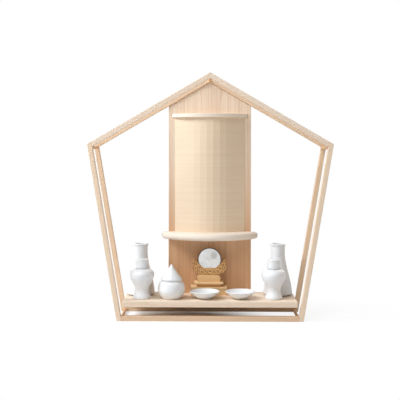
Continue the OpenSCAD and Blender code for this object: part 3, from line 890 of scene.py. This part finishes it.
# a round spot at the upper right is darker in colour only
spot_middle = (disc_middle[0] + DARK_SPOT[0], low[1], disc_middle[2] + DARK_SPOT[1])
from_spot = add(tree, "ShaderNodeVectorMath", {0: source["Object"], 1: spot_middle},
                operation="DISTANCE").outputs["Value"]
haze_and_dark_spot = calc(tree, "ADD", haze_and_dark_spot, ramp(tree, from_spot, 0.001, 0.013, 0.65, 0.0), clamp=True)
join(tree, shader, {"Base Color": blend(tree, haze_and_dark_spot, tint(242, 243, 242), tint(188, 186, 182)),
                    "Roughness": calc(tree, "MULTIPLY_ADD", veil, 0.16, 0.16)})
shader.inputs["Metallic"].default_value = 1.0
dress("mirror_disc", lying_rows(np.concatenate([disc_face, disc_back]), disc_middle, 96),
      mirror_metal, lids=False, crisp=35)
print("mirror radius", round(float(disc_radius), 5))

# %% [markdown]
# The ring round the mirror is dark metal with fine turning marks, so it shines only a
# little. Its section, as every vessel's, is points and arcs in millimetres, joined into
# one line.

# %% Mirror ring
def arc(middle, radius, start, end, steps=4):
    """Points middle + radius (cos a, sin a), a from start to end in degrees."""
    a = np.radians(np.linspace(start, end, steps))
    return np.stack([middle[0] + radius * np.cos(a), middle[1] + radius * np.sin(a)], axis=1)


def joined(*parts):
    return np.concatenate([np.atleast_2d(part) for part in parts]) / 1000


low, high = node_box("mirror_rim")
outside, deep = (high[0] - low[0]) * 500, (high[1] - low[1]) * 1000
inside = disc_radius * 1000
rim_section = joined(arc((outside - 0.4, 0.4), 0.4, -90, 0),
                     arc((outside - 0.4, deep - 0.4), 0.4, 0, 90), (inside, deep),
                     arc((inside + 0.3, 0.3), 0.3, 180, 270))
rim_section = np.concatenate([rim_section, rim_section[:1]])

rim_metal, tree, shader, source = new_material("rim_metal")
turned = noise(tree, source["Object"], (160.0, 2400.0, 160.0), 3.0)
join(tree, shader, {"Base Color": blend(tree, turned, tint(52, 44, 40), tint(92, 80, 70)),
                    "Roughness": calc(tree, "MULTIPLY_ADD", turned, 0.25, 0.3)})
shader.inputs["Metallic"].default_value = 0.3
dress("mirror_rim", lying_rows(rim_section, (disc_middle[0], low[1], disc_middle[2]), 96),
      rim_metal, lids=False, crisp=40)
print("points of the ring's section:", len(rim_section))

# %% [markdown]
# White porcelain looks soft because its glaze is never even: it is a little thicker
# and bluer where it runs together near the foot and under a lip, and its surface has a
# faint ripple. The foot ring is wiped clean of glaze, so it is matt and warmer. One
# group works these out from the height over the shelf and gives only colours and
# values.

# %% Porcelain
glaze, given, glaze_end = new_group(
    "porcelain_glaze",
    [("Vector", "NodeSocketVector", None),
     ("Stand Height", "NodeSocketFloat", 0.0),
     ("Bare Ring", "NodeSocketFloat", 0.0012),
     ("Glaze", "NodeSocketColor", tint(243, 243, 243)),
     ("Pooled Glaze", "NodeSocketColor", tint(226, 231, 234)),
     ("Bare Body", "NodeSocketColor", tint(222, 212, 198))],
    PATTERN_OUTPUTS)
GLAZE_ROUGHNESS = 0.2
BARE_ROUGHNESS = 0.45
split = add(glaze, "ShaderNodeSeparateXYZ", {0: given["Vector"]})
above = calc(glaze, "SUBTRACT", split.outputs["Z"], given["Stand Height"])
patch = noise(glaze, given["Vector"], (55.0, 55.0, 38.0), 3.0)
ripple = noise(glaze, given["Vector"], (240.0, 240.0, 240.0))
speck = noise(glaze, given["Vector"], (900.0, 900.0, 900.0), 1.0)
speck = ramp(glaze, speck, 0.74, 0.82, 0.0, 0.35, "LINEAR")
uneven = calc(glaze, "MULTIPLY", calc(glaze, "SUBTRACT", patch, 0.5), 0.004)
pool = ramp(glaze, calc(glaze, "ADD", above, uneven), 0.001, 0.009, 0.55, 0.0)
pool = calc(glaze, "ADD", pool, calc(glaze, "MULTIPLY", patch, 0.35))
pool = calc(glaze, "ADD", pool, speck, clamp=True)
glazed = blend(glaze, pool, given["Glaze"], given["Pooled Glaze"])
edge = calc(glaze, "ADD", given["Bare Ring"], calc(glaze, "MULTIPLY", uneven, 0.06))
bare = calc(glaze, "LESS_THAN", above, edge)
join(glaze, glaze_end, {
    "Color": blend(glaze, bare, glazed, given["Bare Body"]),
    "Roughness": calc(glaze, "ADD", calc(glaze, "MULTIPLY_ADD", patch, 0.08, GLAZE_ROUGHNESS),
                      calc(glaze, "MULTIPLY", bare, BARE_ROUGHNESS)),
    "Height": ripple})
print("glaze group with", len(glaze.nodes), "nodes")

# %% [markdown]
# A material knows the height that its vessel stands at: the shelf for most, and the
# rim below for a lid. A thin clear coat gives the glaze a second, sharper shine.

# %% Porcelain materials
def porcelain(name, stand_height, bare_ring=0.0012):
    material, tree, shader, source = new_material(name)
    pattern = add(tree, "ShaderNodeGroup",
                  {"Vector": source["Object"], "Stand Height": stand_height,
                   "Bare Ring": bare_ring}, node_tree=glaze)
    feed(tree, shader, pattern, pattern.outputs["Color"], 0.12, 0.0004)
    shader.inputs["Coat Weight"].default_value = 0.15
    shader.inputs["Coat Roughness"].default_value = 0.12
    return material


shelf_height = node_box("offering_shelf")[1][2]
vessel_glaze = porcelain("porcelain_vessel", float(shelf_height))
print("the vessels stand at", round(float(shelf_height), 4), "m")

# %% [markdown]
# Every foot is made the same way: the underside is hollowed, and the ring that is left
# is rounded on both sides. So one function draws them all, and another turns a whole
# section on its node's own axis.

# %% Feet and turned vessels
def foot_ring(hollow, depth, inner, inner_round, outer, outer_round, last=350, steps=4):
    """Underside in mm: the hollow's flat, then the arcs on both sides of the ring."""
    return np.concatenate([[(0, depth), (hollow, depth)],
                           arc((inner, inner_round), inner_round, 200, 270),
                           arc((outer, outer_round), outer_round, 270, last, steps)])


def dress_vessel(node, profile, rest=shelf_height, material=vessel_glaze):
    """Turned piece on the node's own axis. The profile is in metres, over rest."""
    low, high = node_box(node)
    middle = (low + high) / 2
    rows = turned_rows(profile, (middle[0], middle[1], rest))
    return dress(node, rows, material, lids=False, crisp=50)


print("points under a foot:", len(foot_ring(20.0, 1.6, 21.6, 0.9, 24.2, 0.8)))

# %% [markdown]
# The two vases flare down to a broad foot and end in a rolled lip. They are slip cast,
# so the inside follows the outside at an even wall. The flare is a smooth step between
# neck and foot, because an arc would bulge where the real one is straight.

# %% Vases
VASE = {"tall": 121.5, "foot": 34.0, "neck": 17.0, "wall": 3.0, "heel": 6.0,
        "flare": 0.8 * 121.5}


def vase_radius(z):
    """foot + (neck - foot) (0.35 f + 0.65 swell(f)), f = (z - heel) / (flare - heel)."""
    f = np.clip((z - VASE["heel"]) / (VASE["flare"] - VASE["heel"]), 0, 1)
    return VASE["foot"] + (VASE["neck"] - VASE["foot"]) * (0.35 * f + 0.65 * swell(f))


def vase_profile():
    tall, neck, wall = VASE["tall"], VASE["neck"], VASE["wall"]
    z = np.linspace(VASE["heel"], VASE["flare"], 44)
    side = np.stack([vase_radius(z), z], axis=1)
    heel = arc((VASE["foot"] - 2.4, 4.8), 2.4, -80, 0, 6)
    collar = [(neck, tall - 7), (neck + 0.2, tall - 6), (neck + 0.9, tall - 5)]
    lip = arc((neck + 0.3, tall - 1.7), 1.7, -60, 90, 9)
    mouth = arc((neck - wall + 1.4, tall - 1.4), 1.4, 90, 180, 5)
    inner = side[::-1] - [wall, 0]
    floor_line = [(VASE["foot"] - wall - 0.8, 10.5), (VASE["foot"] - wall - 4, 7.8), (0, 7.0)]
    return joined(foot_ring(20.0, 1.6, 21.6, 0.9, 24.2, 0.8, last=360), (25.2, 2.0),
                  (30.5, 2.4), heel, side[1:], collar, lip, mouth, inner[:-2], floor_line)


for node in ("vase_left", "vase_right"):
    dress_vessel(node, vase_profile())
print("vase profile points:", len(vase_profile()))

# %% [markdown]
# The bottles have a small foot, a waist and a high round shoulder, and a neck that the
# lid hides. Three formulas meet without a kink: a smooth step down to the waist, a
# smooth step up to the shoulder and a quarter ellipse over to the neck.

# %% Bottles and their lids
BOTTLE = {"tall": 70.0, "foot": 20.5, "waist": 15.5, "shoulder": 28.8, "neck": 11.0,
          "neck_tall": 19.0, "wall": 3.0, "lid": 15.3, "lid_top": 3.0, "gap": 0.5,
          "play": 0.4}


def bottle_radius(f):
    """foot to waist by swell(f / 0.25), waist to shoulder by swell((f - 0.25) / 0.55),
    then neck + (shoulder - neck) sqrt(1 - ((f - 0.8) / 0.2)^2)."""
    foot, waist, shoulder = BOTTLE["foot"], BOTTLE["waist"], BOTTLE["shoulder"]
    low = foot + (waist - foot) * swell(f / 0.25)
    middle = waist + (shoulder - waist) * swell((f - 0.25) / 0.55)
    round_part = np.clip(1 - ((f - 0.8) / 0.2) ** 2, 0, 1)
    high = BOTTLE["neck"] + (shoulder - BOTTLE["neck"]) * np.sqrt(round_part)
    return np.where(f < 0.25, low, np.where(f < 0.8, middle, high))


def bottle_profile():
    tall, neck, wall = BOTTLE["tall"], BOTTLE["neck"], BOTTLE["wall"]
    mouth = tall + BOTTLE["neck_tall"]
    f = shares_up(0.8, 44, 14)
    side = np.stack([bottle_radius(f), 2 + (tall - 2) * f], axis=1)
    inside = side[16:-1] - [wall, 0.4 * wall]
    inside[:, 0] = np.maximum(inside[:, 0], neck - wall)
    return joined(
        foot_ring(15.5, 1.4, 17.0, 0.8, BOTTLE["foot"] - 1.2, 1.2, steps=5), side,
        arc((neck - 0.5, mouth - 0.5), 0.5, 0, 90),
        arc((neck - wall + 0.5, mouth - 0.5), 0.5, 90, 180), (neck - wall, tall),
        inside[::-1], (0, inside[0, 1] - 0.6))


def bottle_lid_profile():
    """Cap that hangs over the neck: a straight side with a fine bead under the top."""
    lid, top = BOTTLE["lid"], BOTTLE["neck_tall"] + BOTTLE["lid_top"]
    hole = BOTTLE["neck"] + BOTTLE["play"]
    x = np.linspace(1, 0, 8)
    crown = np.stack([(lid - 1.0) * x, top + 0.4 * (1 - x ** 2)], axis=1)
    return joined(
        (0, BOTTLE["neck_tall"]), (hole, BOTTLE["neck_tall"]), (hole, 1.0),
        arc((hole + 0.5, BOTTLE["gap"] + 0.5), 0.5, 180, 270),
        arc((lid - 0.7, BOTTLE["gap"] + 0.7), 0.7, 270, 360), (lid - 0.1, 9.0),
        (lid - 0.35, top - 3.6), (lid - 0.3, top - 3.0),
        arc((lid - 0.8, top - 1.6), 1.0, -40, 80, 7), crown[1:])


for side in ("left", "right"):
    dress_vessel("bottle_" + side, bottle_profile())
    rest = shelf_height + BOTTLE["tall"] / 1000
    lid_glaze = porcelain("porcelain_lid_" + side, float(rest), 0.0011)
    dress_vessel("bottle_lid_" + side, bottle_lid_profile(), rest, lid_glaze)
print("bottle profile points:", len(bottle_profile()))

# %% [markdown]
# The water jar is a round pot with a short mouth ring, and its lid sweeps up in a hollow
# curve to a drop-shaped tip. The dark line between the two is the real gap over the
# ring, so the ring is modelled and no line is painted.

# %% Water jar
JAR = {"tall": 43.5, "ring": 3.0, "wide": 31.4, "foot": 21.5, "bore": 20.0, "wall": 3.0,
       "lid": 25.0, "lid_tall": 36.0, "brim": 2.5}


def jar_radius(f):
    """foot + (wide - foot) sin(90 f / 0.52)^0.85, and above 0.52 the quarter ellipse
    mouth + (wide - mouth) sqrt(1 - ((f - 0.52) / 0.48)^2)."""
    mouth = JAR["bore"] + JAR["wall"]
    low = np.sin(np.pi / 2 * np.clip(f / 0.52, 0, 1)) ** 0.85
    high = np.sqrt(np.clip(1 - ((f - 0.52) / 0.48) ** 2, 0, 1))
    return np.where(f < 0.52, JAR["foot"] + (JAR["wide"] - JAR["foot"]) * low,
                    mouth + (JAR["wide"] - mouth) * high)


def jar_profile():
    shoulder, mouth, wall = JAR["tall"] - JAR["ring"], JAR["bore"] + JAR["wall"], JAR["wall"]
    f = shares_up(0.52, 22, 20)
    side = np.stack([jar_radius(f), 1 + (shoulder - 1) * f], axis=1)
    inside = side[5:-1] - [wall, 0]
    inside[:, 0] = np.maximum(inside[:, 0], JAR["bore"])
    return joined(
        foot_ring(16.0, 1.5, 17.6, 0.8, JAR["foot"] - 0.9, 0.9), side,
        arc((mouth - 0.4, JAR["tall"] - 0.4), 0.4, 0, 90), (JAR["bore"], JAR["tall"]),
        inside[::-1], (0, 1 + wall))


def jar_lid_profile():
    """Crown radius 2 + (lid - 2.6) (1 - f)^1.1 over the height above the brim."""
    lid, tall, brim = JAR["lid"], JAR["lid_tall"], JAR["brim"]
    plug = JAR["bore"] - 0.4
    f = np.linspace(0, 1, 30)
    crown = np.stack([2 + (lid - 2.6) * (1 - f) ** 1.1, brim + (tall - brim - 2) * f], axis=1)
    tip = arc((0, tall - 2.1), 2.1, 12, 90, 6)
    under = np.stack([np.minimum(plug - JAR["wall"], crown[:, 0] - JAR["wall"] - 1),
                      crown[:, 1] - JAR["wall"]], axis=1)[2:16][::-1]
    return joined((0, under[0, 1] + 1), under, (plug - JAR["wall"], -3), (plug, -3), (plug, 0),
                  arc((lid - 0.8, 0.8), 0.8, 270, 360, 5), arc((lid - 1.0, 1.6), 1.0, 0, 60),
                  crown[1:], tip)


dress_vessel("water_jar", jar_profile())
lid_rest = shelf_height + JAR["tall"] / 1000
dress_vessel("water_jar_lid", jar_lid_profile(), lid_rest,
             porcelain("porcelain_jar_lid", float(lid_rest), 0.0004))
print("jar lid profile points:", len(jar_lid_profile()))

# %% [markdown]
# Two shallow dishes hold rice and salt. A dish is thin at the rim and thick at the
# foot, so the inner line is drawn on its own and not as a copy of the outer one.

# %% Dishes
def dish_profile(wide=35.3, tall=17.5, foot=16.0, wall=2.5):
    """Outside: foot + (wide - foot) (0.55 sin(90 f^0.9) + 0.45 f)."""
    f = np.linspace(0, 1, 30)
    out = foot + (wide - foot) * (0.55 * np.sin(np.pi / 2 * f ** 0.9) + 0.45 * f)
    outside = np.stack([out, 1.5 + (tall - 1.5) * f], axis=1)[:-1]
    inside = np.stack([out - wall * (1 - 0.25 * f), 2.1 + (tall - 1.5) * f], axis=1)[3:-1]
    rim = arc((wide - 0.9, tall - 0.9), 0.9, 0, 150, 7)
    return joined(foot_ring(11.8, 1.3, 13.2, 0.7, foot - 0.8, 0.7), outside, rim,
                  inside[::-1], (10.0, 4.05), (0, 4.0))


for node in ("dish_left", "dish_right"):
    dress_vessel(node, dish_profile())
print("dish profile points:", len(dish_profile()))

# %% [markdown]
# The light comes from a soft lamp at the upper left, a little in front of the shrine.
# A weaker one high in front opens the front faces, and a third behind keeps the back
# from going dull. An even, slightly warm sky fills the shadows, as a studio's walls
# do. Seen straight or in a gloss, it is white.

# %% Light
MIDDLE = (0.0, 0.0, 0.27)
WHITE = (1.0, 1.0, 1.0, 1.0)
SKY_LEVEL = 0.21
WARM_WALLS = (1.08, 1.0, 0.90, 1.0)
LAMPS = {"key_lamp": ((-1.80, -0.66, 1.88), 1.2, 56, (0.93, 1.0, 1.08)),
         "front_lamp": ((-0.5, -1.6, 2.2), 1.2, 16, WHITE[:3]),
         "back_lamp": ((1.1, 1.7, 1.3), 1.6, 9, WHITE[:3])}


def soft_lamp(name, place, width, power, colour):
    data = bpy.data.lights.new(name, "AREA")
    data.shape = "DISK"
    data.size = width
    data.energy = power
    data.color = colour
    lamp = bpy.data.objects.new(name, data)
    aim = Vector(MIDDLE) - Vector(place)
    lamp.location = place
    lamp.rotation_euler = aim.to_track_quat("-Z", "Y").to_euler()
    bpy.context.scene.collection.objects.link(lamp)


def seen_by(tree):
    """Is Camera Ray, and 1 for each ray that may see the studio itself."""
    rays = add(tree, "ShaderNodeLightPath").outputs
    seen = calc(tree, "MAXIMUM", rays["Is Camera Ray"], rays["Is Glossy Ray"])
    return rays["Is Camera Ray"], calc(tree, "MAXIMUM", seen, rays["Is Transmission Ray"])


for name, settings in LAMPS.items():
    soft_lamp(name, *settings)

world = bpy.data.worlds.new("studio")
bpy.context.scene.world = world
world.use_nodes = True
sky = world.node_tree
seen = seen_by(sky)[1]
join(sky, sky.nodes["Background"], {
    "Strength": calc(sky, "MULTIPLY_ADD", seen, 1 - SKY_LEVEL, SKY_LEVEL),
    "Color": blend(sky, seen, WARM_WALLS, WHITE)})
print("lamps:", ", ".join(LAMPS))

# %% [markdown]
# The floor is a plain white sheet that keeps the object's shadow. Outside an oval
# round the object it turns into the backdrop's white, so that no horizon shows. It is
# brighter to the camera than to bounced light, so the undersides don't glow.

# %% Floor
FLOOR_HALF = 6.0
FLOOR_BOUNCE = 0.86
FLOOR_SEEN = 0.26
OVAL_SHIFT = (0.06, 0.0, 0.0)
OVAL_SHAPE = (1.0, 2.2, 1.0)
NEAR_FADE = (0.06, 0.24, 0.0, 0.88)
FAR_FADE = (0.25, 0.7, 0.0, 0.12)

ends = (-FLOOR_HALF, FLOOR_HALF)
floor_mesh = bpy.data.meshes.new("floor")
floor_mesh.from_pydata([(x, y, 0.0) for y in ends for x in ends], [], [(0, 1, 3, 2)])
floor = bpy.data.objects.new("floor", floor_mesh)
bpy.context.scene.collection.objects.link(floor)
floor_material, tree, shader, source = new_material("floor_white")
shader.inputs["Roughness"].default_value = 0.9
shader.inputs["Specular IOR Level"].default_value = 0.0
beside = add(tree, "ShaderNodeVectorMath", {0: source["Object"], 1: OVAL_SHIFT}).outputs[0]
oval = stretch(tree, beside, OVAL_SHAPE)
away = add(tree, "ShaderNodeVectorMath", {0: oval}, operation="LENGTH").outputs["Value"]
fade = calc(tree, "ADD", ramp(tree, away, *NEAR_FADE), ramp(tree, away, *FAR_FADE))
straight, seen = seen_by(tree)
level = calc(tree, "MULTIPLY_ADD", straight, FLOOR_SEEN, FLOOR_BOUNCE)
grey = add(tree, "ShaderNodeCombineXYZ", {0: level, 1: level, 2: level}).outputs[0]
join(tree, shader, {"Base Color": grey})
white = add(tree, "ShaderNodeEmission", {"Color": WHITE, "Strength": 1.0})
mixed = add(tree, "ShaderNodeMixShader", {0: calc(tree, "MULTIPLY", fade, seen),
                                          1: shader.outputs[0], 2: white.outputs[0]})
join(tree, tree.nodes["Material Output"], {"Surface": mixed.outputs[0]})
floor_mesh.materials.append(floor_material)
print("floor sheet", 2 * FLOOR_HALF, "m wide")
